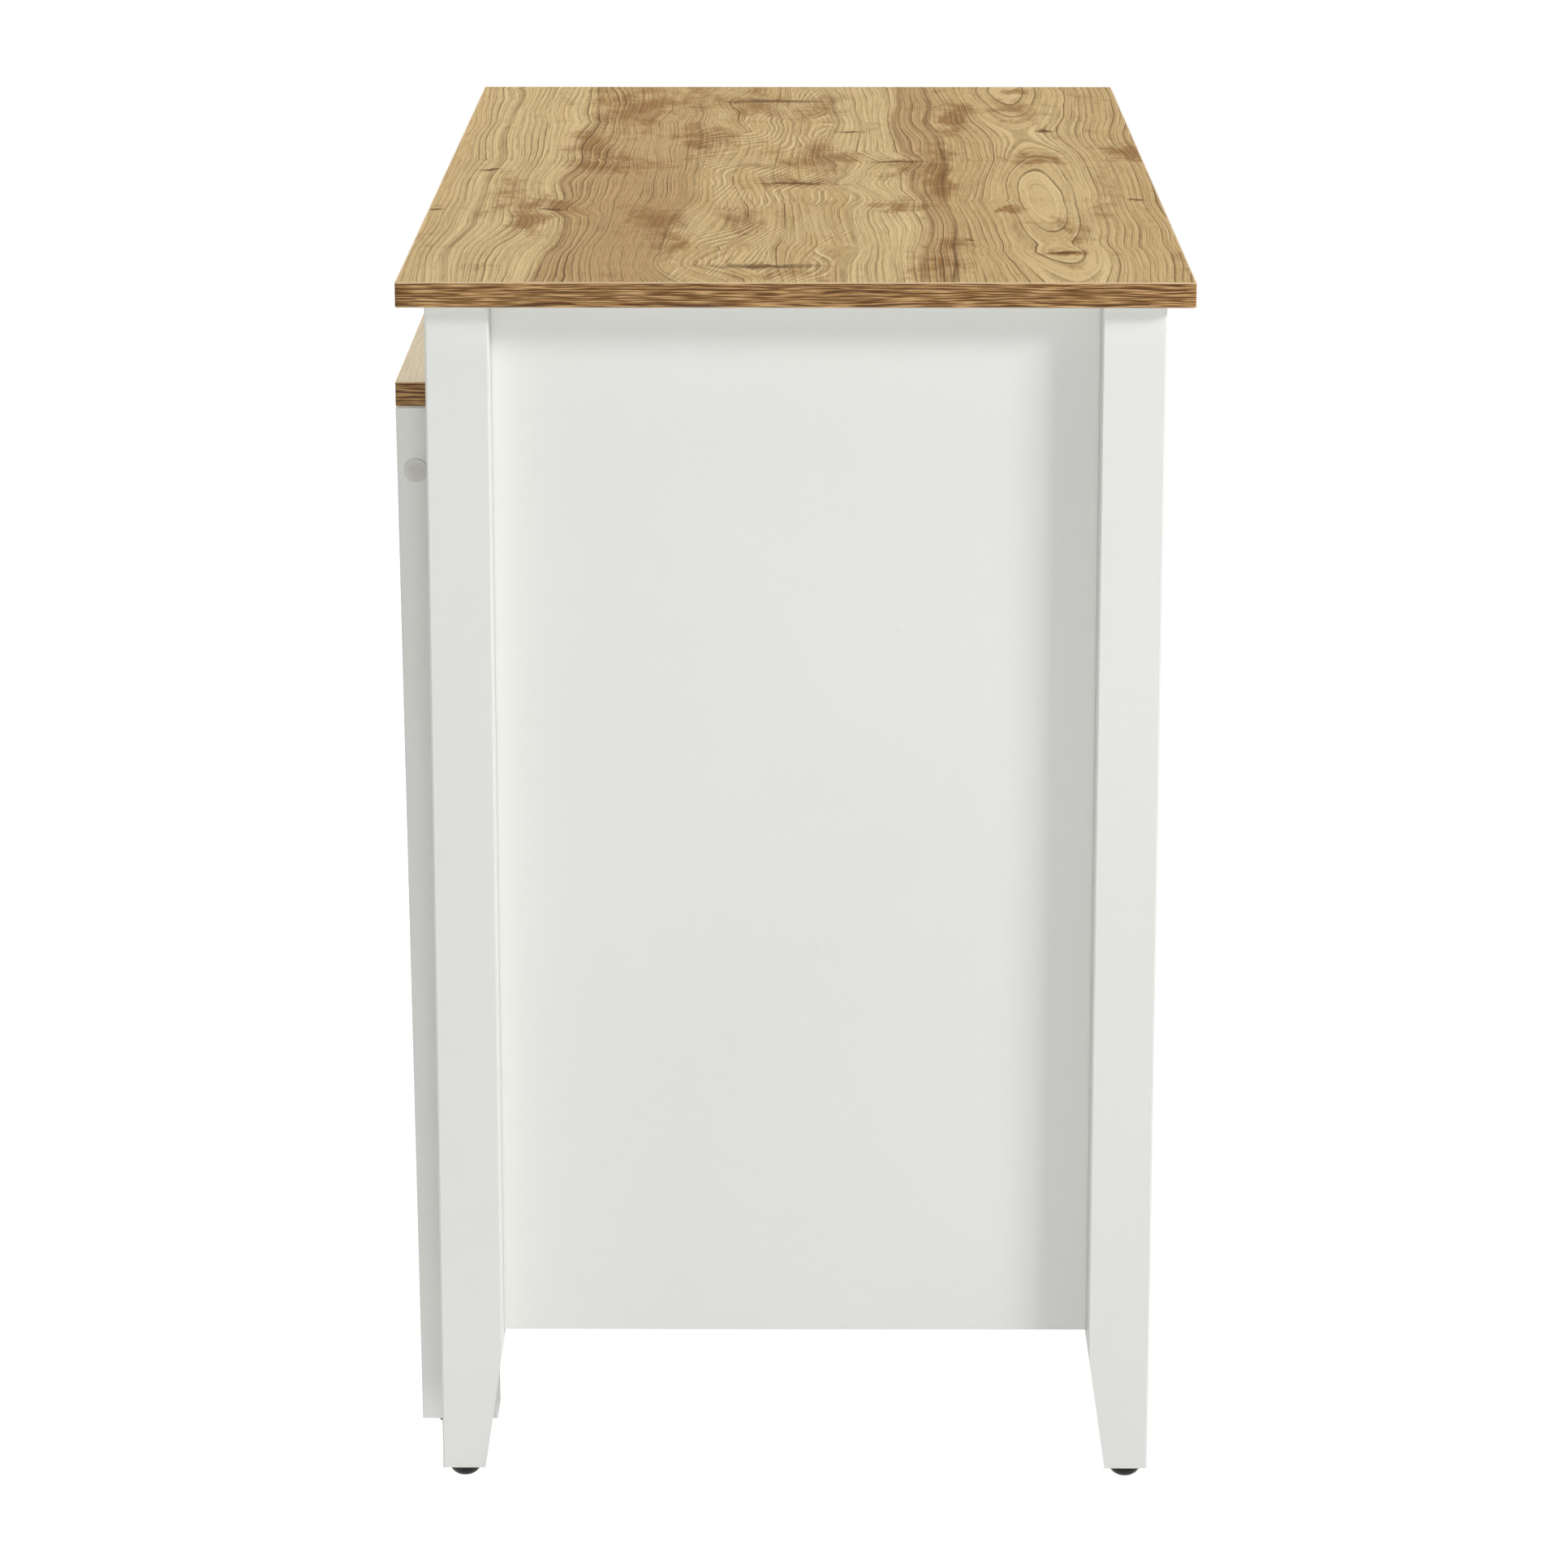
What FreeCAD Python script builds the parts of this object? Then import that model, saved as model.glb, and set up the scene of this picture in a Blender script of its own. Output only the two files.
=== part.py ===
import FreeCAD, Part
import os

# A kitchen island: a shelf cabinet on four tapered legs under a wood-effect worktop, with a
# lower table on two legs of its own that slides out from under the worktop's front.
#
# Millimetres, Z up from the floor. X runs along the island, Y from its front to its back.
# The table pulls out towards -Y and the shelves open towards +Y. Right is +X.

V = FreeCAD.Vector
SIDES = (("left", -1), ("right", 1))
ENDS = (("front", -1), ("back", 1))
FULL_TURN = 360

# Worktop and overall height
island_height = 900.0
worktop_length = 1100.0
worktop_depth = 560.0
worktop_overhang = 19.0

# Boards, their edge bands and how far their edges are broken
board = 18.0
band = 1.2
board_edge_round = 0.8
board_corner_round = 2.0
arris_round = 0.5

# Island legs: square, tapered on both inner sides above the foot
leg_side = 45.0
leg_foot_side = 31.5
leg_taper_height = 92.0
leg_edge_round = 1.5

# Domed glides, pinned into the feet
glide_height = 10.0
glide_radius = 12.0
glide_flat_radius = 4.0
glide_rim = 1.5
glide_pin_radius = 2.5
glide_pin_length = 16.0
glide_dome_shares = (0.62, 0.28)

# Cabinet between the legs
floor_clearance = 109.0
rail_height = 70.0
rail_setback = 6.0
shelf_end_gap = 1.0
shelf_setback = 8.0
shelf_height_share = 0.5
shelf_pin_radius = 2.5
shelf_pin_length = 16.0
shelf_pin_seat = 8.0
shelf_pin_row_shares = (0.12, 0.88)
shelf_hole_pitch = 32.0
shelf_hole_steps = (-2, -1, 0, 1, 2)

# Pull-out table
table_reach = 10.0
table_side_gap = 56.0
table_back_gap = 57.0
table_gap = 4.0
table_leg_width = 57.0
table_leg_thickness = 40.0
table_leg_rake = 7.0
table_glide_inset = 21.0
neck_height = 1.2
neck_inset = 1.5
apron_height = 94.0
apron_setback = 5.0
side_rail_height = 60.0
cabinet_top_gap = 8.0

# Telescopic slides that carry the table's back
slide_height = 45.0
slide_width = 12.7
slide_sheet = 1.2
slide_running_gap = 0.3
slide_head_room = 2.0
slide_mouth_gap = 3.2
slide_inner_depth = 7.0
slide_front_inset = 11.0
slide_back_inset = 30.0
slide_screw_shares = (0.1, 0.5, 0.9)
batten_height = 50.0
batten_back_gap = 47.0

# Dowels, with their depth into a board's face and into a board's end or a leg
dowel_radius = 4.0
dowel_face_depth = 12.0
dowel_end_depth = 18.0
dowel_end_gap = 1.0
hole_fit = 0.05
pair_shares = (0.22, 0.78)
trio_shares = (0.12, 0.5, 0.88)

# Pan head screws
screw_radius = 1.75
screw_head_radius = 3.5
screw_head_height = 1.6
screw_length = 14.0
screw_tip_gap = 1.0

# Angle brackets under the worktop and under the table's slab
bracket_arm = 30.0
bracket_width = 25.0
bracket_sheet = 2.0
bracket_screw_share = 0.6
bracket_place_share = 0.55

# Bolts through the table's legs into the apron, with barrel nuts and cover caps
bolt_radius = 3.0
bolt_head_radius = 5.0
bolt_head_height = 6.0
bolt_counterbore_radius = 6.5
bolt_counterbore_depth = 10.0
bolt_into_apron = 40.0
barrel_radius = 5.0
barrel_length = 14.0
barrel_from_end = 30.0
barrel_skin = 2.0
cap_radius = 8.75
cap_thickness = 1.2
cap_edge_round = 0.6
cap_plug_depth = 3.0

# Faces that several pieces share
under_worktop = island_height - board
leg_outer_x = worktop_length / 2 - worktop_overhang
leg_inner_x = leg_outer_x - leg_side
leg_outer_y = worktop_depth / 2 - worktop_overhang
leg_inner_y = leg_outer_y - leg_side
rail_outer_y = leg_outer_y - rail_setback
rail_inner_y = rail_outer_y - board
rail_under = under_worktop - rail_height
table_top = rail_under - table_gap
table_under = table_top - board
table_x = leg_inner_x - table_side_gap
table_front = -worktop_depth / 2 - table_reach
table_back = rail_inner_y - table_back_gap
table_leg_inner_x = table_x - table_leg_thickness
table_leg_inner_y = table_front + table_leg_width
apron_outer_y = table_front + apron_setback
apron_inner_y = apron_outer_y + board
side_rail_under = table_under - side_rail_height
side_rail_inner_x = table_x - board
slide_z = table_under - side_rail_height / 2
slide_front = -leg_outer_y + slide_front_inset
slide_back = table_back - slide_back_inset
slide_outer_x = table_x + slide_width
cabinet_floor_top = floor_clearance + board
cabinet_top_top = side_rail_under - cabinet_top_gap
cabinet_top_under = cabinet_top_top - board
closing_inner_y = -leg_inner_y + board

# The part's origin is on the floor in the middle of its box, which the table's reach moves.
origin_y = -table_reach / 2

pieces = {}
groups = {}


def between(low, high, share):
    return low + (high - low) * share


def box(x0, x1, y0, y1, z0, z1):
    """A box between two values on each axis, given in either order."""
    low = V(min(x0, x1), min(y0, y1), min(z0, z1))
    return Part.makeBox(abs(x1 - x0), abs(y1 - y0), abs(z1 - z0), low)


def plank(x0, x1, y0, y1, z0, z1):
    """A plain board whose twelve edges are slightly rounded."""
    shape = box(x0, x1, y0, y1, z0, z1)
    return shape.makeFillet(arris_round, shape.Edges)


def prism(points, depth):
    """A flat outline pushed along a vector."""
    wire = Part.makePolygon(points + points[:1])
    return Part.Face(wire).extrude(depth)


def long_edges(shape, length):
    """The straight vertical edges of a shape that are at least this long."""
    chosen = []
    for edge in shape.Edges:
        rise = abs(edge.Vertexes[0].Z - edge.Vertexes[-1].Z)
        if rise > length:
            chosen.append(edge)
    return chosen


def add(name, shape):
    pieces[name] = shape


def add_to(group, shape):
    groups.setdefault(group, []).append(shape)


def cut(name, tool):
    pieces[name] = pieces[name].cut(tool)


def dowel(group, first, second, at, along, into_first, into_second):
    """A dowel across the face where two pieces meet; along points into the second."""
    start = at - along * into_first
    add_to(group, Part.makeCylinder(dowel_radius, into_first + into_second, start, along))
    hole_length = into_first + into_second + 2 * dowel_end_gap
    hole_start = start - along * dowel_end_gap
    hole = Part.makeCylinder(dowel_radius + hole_fit, hole_length, hole_start, along)
    cut(first, hole)
    cut(second, hole)


def screw(group, plate, wood, seat, along):
    """A pan head screw whose head sits at seat on a plate and whose shank goes into wood."""
    head_start = seat - along * screw_head_height
    head = Part.makeCylinder(screw_head_radius, screw_head_height, head_start, along)
    shank = Part.makeCylinder(screw_radius, screw_length, seat, along)
    add_to(group, head.fuse(shank).removeSplitter())
    hole = Part.makeCylinder(screw_radius + hole_fit, screw_length + screw_tip_gap, seat, along)
    cut(wood, hole)
    return plate.cut(hole)


def banded_board(name, x0, x1, y0, y1, z0, z1):
    """A board with rounded outer edges, and the four thin bands glued round it."""
    block = box(x0, x1, y0, y1, z0, z1)
    block = block.makeFillet(board_corner_round, long_edges(block, (z1 - z0) / 2))
    rims = [e for e in block.Edges if abs(e.Vertexes[0].Z - e.Vertexes[-1].Z) < (z1 - z0) / 2]
    block = block.makeFillet(board_edge_round, rims)
    core = box(x0 + band, x1 - band, y0 + band, y1 - band, z0, z1)
    add(name, block.common(core))
    bands = [
        box(x0, x1, y0, y0 + band, z0, z1),
        box(x0, x1, y1 - band, y1, z0, z1),
        box(x0, x0 + band, y0 + band, y1 - band, z0, z1),
        box(x1 - band, x1, y0 + band, y1 - band, z0, z1),
    ]
    for strip in bands:
        add_to(name + "_edge_bands", block.common(strip))


def glide(group, leg, x, y):
    """A domed glide under a leg, with its pin up in the foot."""
    rim_z = glide_height - glide_rim
    out_share, up_share = glide_dome_shares
    dome_mid = V(between(glide_flat_radius, glide_radius, out_share), 0, rim_z * up_share)
    start = V(glide_flat_radius, 0, 0)
    rim = V(glide_radius, 0, rim_z)
    corners = [rim, V(glide_radius, 0, glide_height), V(0, 0, glide_height), V(0, 0, 0), start]
    edges = [Part.Arc(start, dome_mid, rim).toShape()]
    for a, b in zip(corners, corners[1:]):
        edges.append(Part.makeLine(a, b))
    dome = Part.Face(Part.Wire(edges)).revolve(V(0, 0, 0), V(0, 0, 1), FULL_TURN)
    pin = Part.makeCylinder(glide_pin_radius, glide_pin_length, V(0, 0, glide_height))
    whole = dome.fuse(pin)
    whole.translate(V(x, y, 0))
    add_to(group, whole)
    hole_length = glide_pin_length + dowel_end_gap
    hole = Part.makeCylinder(glide_pin_radius + hole_fit, hole_length, V(x, y, glide_height))
    cut(leg, hole)


def bracket(group, wall, slab, corner, out):
    """An angle bracket under a slab against a wall; out points away from the wall."""
    side = V(-out.y, out.x, 0) * (bracket_width / 2)
    up = V(0, 0, 1)
    outline = [
        corner,
        corner + out * bracket_arm,
        corner + out * bracket_arm - up * bracket_sheet,
        corner + out * bracket_sheet - up * bracket_sheet,
        corner + out * bracket_sheet - up * bracket_arm,
        corner - up * bracket_arm,
    ]
    plate = prism([p - side for p in outline], side * 2)
    reach = bracket_arm * bracket_screw_share
    screws = group + "_screws"
    plate = screw(screws, plate, wall, corner + out * bracket_sheet - up * reach, out * -1)
    plate = screw(screws, plate, slab, corner + out * reach - up * bracket_sheet, up)
    add_to(group + "s", plate)


def channel(s, web_x, mouth_x, half_height, y0, y1):
    """A slide member: a web with a flange above and below, open towards mouth_x."""
    step = slide_sheet if mouth_x > web_x else -slide_sheet
    full = box(s * web_x, s * mouth_x, y0, y1, slide_z - half_height, slide_z + half_height)
    clear = half_height - slide_sheet
    hollow = box(s * (web_x + step), s * mouth_x, y0, y1, slide_z - clear, slide_z + clear)
    return full.cut(hollow)


def make_worktop():
    x = worktop_length / 2
    y = worktop_depth / 2
    banded_board("worktop", -x, x, -y, y, under_worktop, island_height)


def make_legs():
    """Four legs; the two inner sides lean in below the taper's start."""
    taper_top = glide_height + leg_taper_height
    lean = leg_side - leg_foot_side
    for side, s in SIDES:
        for end, e in ENDS:
            name = "leg_" + end + "_" + side
            leg = box(s * leg_inner_x, s * leg_outer_x, e * leg_inner_y, e * leg_outer_y,
                      glide_height, under_worktop)
            leg = leg.makeFillet(leg_edge_round, long_edges(leg, leg_side))
            wedge_x = prism([
                V(s * leg_inner_x, e * leg_inner_y, taper_top),
                V(s * leg_inner_x, e * leg_inner_y, glide_height),
                V(s * (leg_inner_x + lean), e * leg_inner_y, glide_height),
            ], V(0, e * leg_side, 0))
            wedge_y = prism([
                V(s * leg_inner_x, e * leg_inner_y, taper_top),
                V(s * leg_inner_x, e * leg_inner_y, glide_height),
                V(s * leg_inner_x, e * (leg_inner_y + lean), glide_height),
            ], V(s * leg_side, 0, 0))
            add(name, leg.cut(wedge_x).cut(wedge_y))
            foot_x = leg_outer_x - leg_foot_side / 2
            foot_y = leg_outer_y - leg_foot_side / 2
            glide("leg_glides", name, s * foot_x, e * foot_y)


def make_cabinet():
    """End panels, boards, rails and the partition, as plain boards between the legs."""
    for side, s in SIDES:
        add("end_panel_" + side, plank(s * leg_inner_x, s * (leg_inner_x + board), -leg_inner_y, leg_inner_y,
                                       floor_clearance, under_worktop))
    x = leg_inner_x
    add("front_rail", plank(-x, x, -rail_outer_y, -rail_inner_y, rail_under, under_worktop))
    add("back_fascia", plank(-x, x, rail_inner_y, rail_outer_y, cabinet_top_under, under_worktop))
    add("cabinet_floor", plank(-x, x, -leg_inner_y, rail_outer_y, floor_clearance, cabinet_floor_top))
    add("cabinet_top", plank(-x, x, -leg_inner_y, rail_inner_y, cabinet_top_under, cabinet_top_top))
    add("closing_panel", plank(-x, x, -leg_inner_y, closing_inner_y, cabinet_floor_top, cabinet_top_under))
    add("partition", plank(-board / 2, board / 2, closing_inner_y, rail_outer_y,
                           cabinet_floor_top, cabinet_top_under))


def join_cabinet():
    """Dowels between the legs, panels, rails and boards of the cabinet."""
    group = "frame_dowels"
    for side, s in SIDES:
        panel = "end_panel_" + side
        outwards = V(s, 0, 0)
        for end, e in ENDS:
            leg = "leg_" + end + "_" + side
            for share in trio_shares:
                z = between(floor_clearance, under_worktop, share)
                at = V(s * (leg_inner_x + board / 2), e * leg_inner_y, z)
                dowel(group, panel, leg, at, V(0, e, 0), dowel_end_depth, dowel_end_depth)
        for rail, low, e in (("front_rail", rail_under, -1), ("back_fascia", cabinet_top_under, 1)):
            leg = "leg_front_" + side if e < 0 else "leg_back_" + side
            for share in pair_shares:
                at = V(s * leg_inner_x, e * (rail_inner_y + board / 2), between(low, under_worktop, share))
                dowel(group, rail, leg, at, outwards, dowel_end_depth, dowel_end_depth)
        for name, low in (("cabinet_floor", floor_clearance), ("cabinet_top", cabinet_top_under)):
            for share in trio_shares:
                at = V(s * leg_inner_x, between(-leg_inner_y, leg_inner_y, share), low + board / 2)
                dowel(group, name, panel, at, outwards, dowel_end_depth, dowel_face_depth)
    for name, z, up in (("cabinet_floor", cabinet_floor_top, -1), ("cabinet_top", cabinet_top_under, 1)):
        for share in pair_shares:
            at = V(0, between(closing_inner_y, rail_inner_y, share), z)
            dowel(group, "partition", name, at, V(0, 0, up), dowel_end_depth, dowel_face_depth)
            at = V(between(-leg_inner_x, leg_inner_x, share), -leg_inner_y + board / 2, z)
            dowel(group, "closing_panel", name, at, V(0, 0, up), dowel_end_depth, dowel_face_depth)


def make_shelves():
    """A shelf in each half of the cabinet, on four pins in one of five rows of holes."""
    shelf_under = between(cabinet_floor_top, cabinet_top_under, shelf_height_share)
    y0 = closing_inner_y + shelf_end_gap
    y1 = rail_outer_y - shelf_setback
    pin_z = shelf_under - shelf_pin_radius
    for side, s in SIDES:
        inner = board / 2
        add("shelf_" + side, plank(s * (inner + shelf_end_gap), s * (leg_inner_x - shelf_end_gap), y0, y1,
                                   shelf_under, shelf_under + board))
        for share in shelf_pin_row_shares:
            y = between(y0, y1, share)
            for wood, x, into in (("partition", inner, -s), ("end_panel_" + side, leg_inner_x, s)):
                along = V(into, 0, 0)
                mouth = V(s * x, y, pin_z)
                tip = mouth - along * (shelf_pin_length - shelf_pin_seat)
                add_to("shelf_pins", Part.makeCylinder(shelf_pin_radius, shelf_pin_length, tip, along))
                for step in shelf_hole_steps:
                    start = mouth + V(0, 0, step * shelf_hole_pitch)
                    cut(wood, Part.makeCylinder(shelf_pin_radius + hole_fit, shelf_pin_seat, start, along))


def make_slides():
    """Battens on the end panels, and three nested channels on each side."""
    half = slide_height / 2
    step = slide_sheet + slide_running_gap
    outer_web = slide_outer_x
    middle_web = outer_web - slide_sheet - slide_head_room
    mouth = table_x + slide_mouth_gap
    seats = [between(slide_front, slide_back, share) for share in slide_screw_shares]
    for side, s in SIDES:
        batten = "slide_batten_" + side
        panel = "end_panel_" + side
        y1 = rail_inner_y - batten_back_gap
        add(batten, plank(s * slide_outer_x, s * leg_inner_x, -rail_outer_y, y1,
                          slide_z - batten_height / 2, slide_z + batten_height / 2))
        for share in trio_shares:
            at = V(s * leg_inner_x, between(-leg_inner_y, y1, share), slide_z)
            dowel("frame_dowels", batten, panel, at, V(s, 0, 0), dowel_end_depth, dowel_face_depth)

        outer = channel(s, outer_web, mouth, half, slide_front, slide_back)
        inner = channel(s, table_x, table_x + slide_inner_depth, half - 2 * step, slide_front, slide_back)
        for y in seats:
            seat = V(s * (outer_web - slide_sheet), y, slide_z)
            outer = screw("slide_outer_screws", outer, batten, seat, V(s, 0, 0))
            seat = V(s * (table_x + slide_sheet), y, slide_z)
            inner = screw("slide_inner_screws", inner, "table_side_rail_" + side, seat, V(-s, 0, 0))
        add("slide_outer_" + side, outer)
        add("slide_middle_" + side, channel(s, middle_web, mouth, half - step, slide_front, slide_back))
        add("slide_inner_" + side, inner)


def shadow_gap(s):
    """The shallow groove round the top of a table leg, which parts it from the slab."""
    groove_z = table_under - neck_height
    inset = neck_inset
    outline = box(s * table_leg_inner_x, s * table_x, table_front, table_leg_inner_y, groove_z, table_under)
    neck = box(s * (table_leg_inner_x + inset), s * (table_x - inset), table_front + inset,
               table_leg_inner_y - inset, groove_z, table_under)
    return outline.cut(neck)


def make_table():
    """The slab, its two legs, the apron between them and the rails behind."""
    banded_board("table_top", -table_x, table_x, table_front, table_back, table_under, table_top)
    add("table_apron", plank(-table_leg_inner_x, table_leg_inner_x, apron_outer_y, apron_inner_y,
                             table_under - apron_height, table_under))
    for side, s in SIDES:
        name = "table_leg_" + side
        foot_front = table_front + table_leg_rake
        foot_back = table_leg_inner_y + table_leg_rake
        leg = prism([
            V(s * table_leg_inner_x, table_front, table_under),
            V(s * table_leg_inner_x, table_leg_inner_y, table_under),
            V(s * table_leg_inner_x, foot_back, glide_height),
            V(s * table_leg_inner_x, foot_front, glide_height),
        ], V(s * table_leg_thickness, 0, 0))
        rounded = leg.makeFillet(leg_edge_round, long_edges(leg, leg_side))
        add(name, rounded.cut(shadow_gap(s)))
        x = s * (table_leg_inner_x + table_leg_thickness / 2)
        glide("table_glides", name, x, foot_front + table_glide_inset)
        # The rail starts inside the leg's outline and is cut back to the leg's raked inner face.
        rail = plank(s * side_rail_inner_x, s * table_x, table_leg_inner_y - leg_side / 2, table_back,
                     side_rail_under, table_under)
        add("table_side_rail_" + side, rail.cut(leg))
    x = side_rail_inner_x
    add("table_rear_rail", plank(-x, x, table_back - board, table_back, side_rail_under, table_under))


def join_table():
    """Dowels, and a bolt with its barrel nut and cap through each leg into the apron."""
    group = "table_dowels"
    apron_y = apron_outer_y + board / 2
    bolt_z = table_under - apron_height / 2
    for side, s in SIDES:
        leg = "table_leg_" + side
        rail = "table_side_rail_" + side
        outwards = V(s, 0, 0)
        rail_x = s * (table_x - board / 2)
        for share in pair_shares:
            at = V(s * table_leg_inner_x, apron_y, between(table_under - apron_height, table_under, share))
            dowel(group, "table_apron", leg, at, outwards, dowel_end_depth, dowel_end_depth)
            z = between(side_rail_under, table_under, share)
            at = V(rail_x, table_leg_inner_y, z)
            dowel(group, leg, rail, at, V(0, 1, 0), dowel_end_depth, dowel_end_depth)
            at = V(s * side_rail_inner_x, table_back - board / 2, z)
            dowel(group, "table_rear_rail", rail, at, outwards, dowel_end_depth, dowel_face_depth)

        inwards = V(-s, 0, 0)
        face = V(s * table_x, apron_y, bolt_z)
        seat = face + inwards * bolt_counterbore_depth
        shank_length = table_leg_thickness - bolt_counterbore_depth + bolt_into_apron
        head_start = seat - inwards * bolt_head_height
        head = Part.makeCylinder(bolt_head_radius, bolt_head_height, head_start, inwards)
        shank = Part.makeCylinder(bolt_radius, shank_length, seat, inwards)
        add_to("table_bolts", head.fuse(shank).removeSplitter())
        passage = Part.makeCylinder(bolt_radius + hole_fit, shank_length + dowel_end_gap, seat, inwards)
        counterbore = Part.makeCylinder(bolt_counterbore_radius, bolt_counterbore_depth, face, inwards)
        cut(leg, passage.fuse(counterbore))

        nut_x = s * (table_leg_inner_x - barrel_from_end)
        pocket_length = board - barrel_skin
        pocket_start = V(nut_x, apron_inner_y, bolt_z)
        pocket = Part.makeCylinder(barrel_radius + hole_fit, pocket_length, pocket_start, V(0, -1, 0))
        cut("table_apron", passage.fuse(pocket))
        nut_start = V(nut_x, apron_inner_y - (pocket_length - barrel_length), bolt_z)
        nut = Part.makeCylinder(barrel_radius, barrel_length, nut_start, V(0, -1, 0))
        add_to("table_barrel_nuts", nut.cut(passage))

        disc = Part.makeCylinder(cap_radius, cap_thickness, face, outwards)
        rim = [e for e in disc.Edges if s * e.CenterOfMass.x > table_x + cap_thickness / 2 and e.isClosed()]
        disc = disc.makeFillet(cap_edge_round, rim)
        plug = Part.makeCylinder(bolt_counterbore_radius - hole_fit, cap_plug_depth, face, inwards)
        add_to("table_bolt_caps", disc.fuse(plug))


def fit_brackets():
    """Brackets that hold the worktop to the cabinet and the slab to its rails."""
    for s in (-1, 1):
        for e in (-1, 1):
            corner = V(s * leg_inner_x, e * leg_inner_y * bracket_place_share, under_worktop)
            panel = "end_panel_left" if s < 0 else "end_panel_right"
            bracket("worktop_bracket", panel, "worktop", corner, V(-s, 0, 0))
        for rail, e in (("front_rail", -1), ("back_fascia", 1)):
            corner = V(s * leg_inner_x * bracket_place_share, e * rail_inner_y, under_worktop)
            bracket("worktop_bracket", rail, "worktop", corner, V(0, -e, 0))
        for share in pair_shares:
            rail = "table_side_rail_left" if s < 0 else "table_side_rail_right"
            corner = V(s * side_rail_inner_x, between(table_leg_inner_y, table_back, share), table_under)
            bracket("table_bracket", rail, "table_top", corner, V(-s, 0, 0))
        corner = V(s * table_leg_inner_x * bracket_place_share, apron_inner_y, table_under)
        bracket("table_bracket", "table_apron", "table_top", corner, V(0, 1, 0))


def save_all():
    os.makedirs("parts", exist_ok=True)
    for name, shapes in groups.items():
        pieces[name] = Part.makeCompound(shapes)
    for name, shape in sorted(pieces.items()):
        placed = shape.copy()
        placed.translate(V(0, -origin_y, 0))
        placed.exportStep("parts/" + name + ".step")
    print(len(pieces), "nodes")


make_worktop()
make_legs()
make_cabinet()
make_table()
make_shelves()
make_slides()
join_cabinet()
join_table()
fit_brackets()
save_all()
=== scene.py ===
import math

import bmesh
import bpy
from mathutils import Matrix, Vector


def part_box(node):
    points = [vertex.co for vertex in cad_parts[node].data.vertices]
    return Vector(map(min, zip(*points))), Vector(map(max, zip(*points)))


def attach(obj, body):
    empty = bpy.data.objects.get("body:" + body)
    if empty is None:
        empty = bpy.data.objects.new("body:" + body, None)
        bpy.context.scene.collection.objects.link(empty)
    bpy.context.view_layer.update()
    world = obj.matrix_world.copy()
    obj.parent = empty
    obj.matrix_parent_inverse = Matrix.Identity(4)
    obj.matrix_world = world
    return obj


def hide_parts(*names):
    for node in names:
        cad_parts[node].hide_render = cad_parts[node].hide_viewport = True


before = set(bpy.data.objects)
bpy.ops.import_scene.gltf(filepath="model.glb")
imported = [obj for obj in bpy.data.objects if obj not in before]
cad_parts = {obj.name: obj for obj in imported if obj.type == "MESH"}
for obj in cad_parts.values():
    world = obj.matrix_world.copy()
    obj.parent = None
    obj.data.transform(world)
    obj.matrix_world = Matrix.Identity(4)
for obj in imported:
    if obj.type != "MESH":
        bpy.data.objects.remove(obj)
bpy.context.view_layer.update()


# Camera, in metres and degrees
camera_place = (4.291, 0.0114, 1.5002)
camera_tilt = 14.413
camera_pan = 0.2214
camera_lens = 124.17
camera_sensor = 36.0

# Softboxes: turn from +X towards +Y and rise, in degrees, then width and height in metres, and watts
softboxes = {
    "key_light": (58.0, 24.0, 1.15, 0.55, 91.0),
    "front_light": (-1.0, 1.0, 1.3, 1.3, 31.5),
    "top_light": (0.0, 84.0, 2.6, 2.6, 29.5),
    "back_light": (-135.0, 24.0, 2.6, 2.6, 112.0),
}
lit_place = Vector((0.3, 0.0, 0.55))
lamp_distance = 4.2

# Room and floor
white = (1.0, 1.0, 1.0, 1.0)
room_light = 0.25
floor_reach = 30.0
floor_sides = 64
floor_glow = 0.94
floor_grey = (0.22, 0.22, 0.22, 1.0)

# Heights of the two tops, and the box of the cover caps
worktop_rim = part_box("worktop_edge_bands")[1].z
worktop_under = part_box("worktop_edge_bands")[0].z
table_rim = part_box("table_top_edge_bands")[1].z
table_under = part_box("table_top_edge_bands")[0].z
cap_low, cap_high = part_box("table_bolt_caps")

# Screws and shelf pins, and the middle of each cabinet bay along X
screw_sizes = {
    "Head Radius": 0.0035,
    "Head Height": 0.0016,
    "Shank Radius": 0.00175,
    "Shank Length": 0.014,
}
screw_point_radius = 0.0009
pin_sizes = {
    "Pin Radius": 0.0025,
    "Buried Length": 0.008,
    "Shown Length": 0.008,
    "Collar Radius": 0.004,
    "Collar Height": 0.0009,
    "Tip Radius": 0.0016,
}
shelf_bay = 0.248

# The print of the worktop's laminate: the grain runs along X
print_half_width = 0.285
heart_line = 0.196
widest_waist = 0.036
waist_slope = 0.112
heart_width = 0.035
lines_per_metre = 112.0
more_lines_outside = 85.0
fold_start = -0.306
fold_pitch = 0.231
patch_growth = 1.45
patch_tear = 0.16
mark_tear = 0.05
# The lower top has the same print in a paler wash, a painted highlight that stands in for the light on it,
# moved along its grain
table_glare_wash = 0.72
table_print_shift = 0.11
# along X, and the least half width of the growth line nearest the heart
heart_eyes = [
    (0.149, 0.0),
    (0.409, 0.021),
    (-0.516, 0.008),
]
# x, y, half length, half width, and how far the growth lines are pulled aside there
notches = [
    (0.473, -0.066, 0.075, 0.055, 0.017),
    (-0.447, -0.066, 0.080, 0.055, 0.017),
    (-0.064, 0.070, 0.060, 0.050, -0.016),
    (0.199, -0.180, 0.050, 0.040, 0.012),
    (0.155, 0.070, 0.060, 0.045, -0.012),
    (0.062, 0.045, 0.050, 0.040, 0.014),
]
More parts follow.
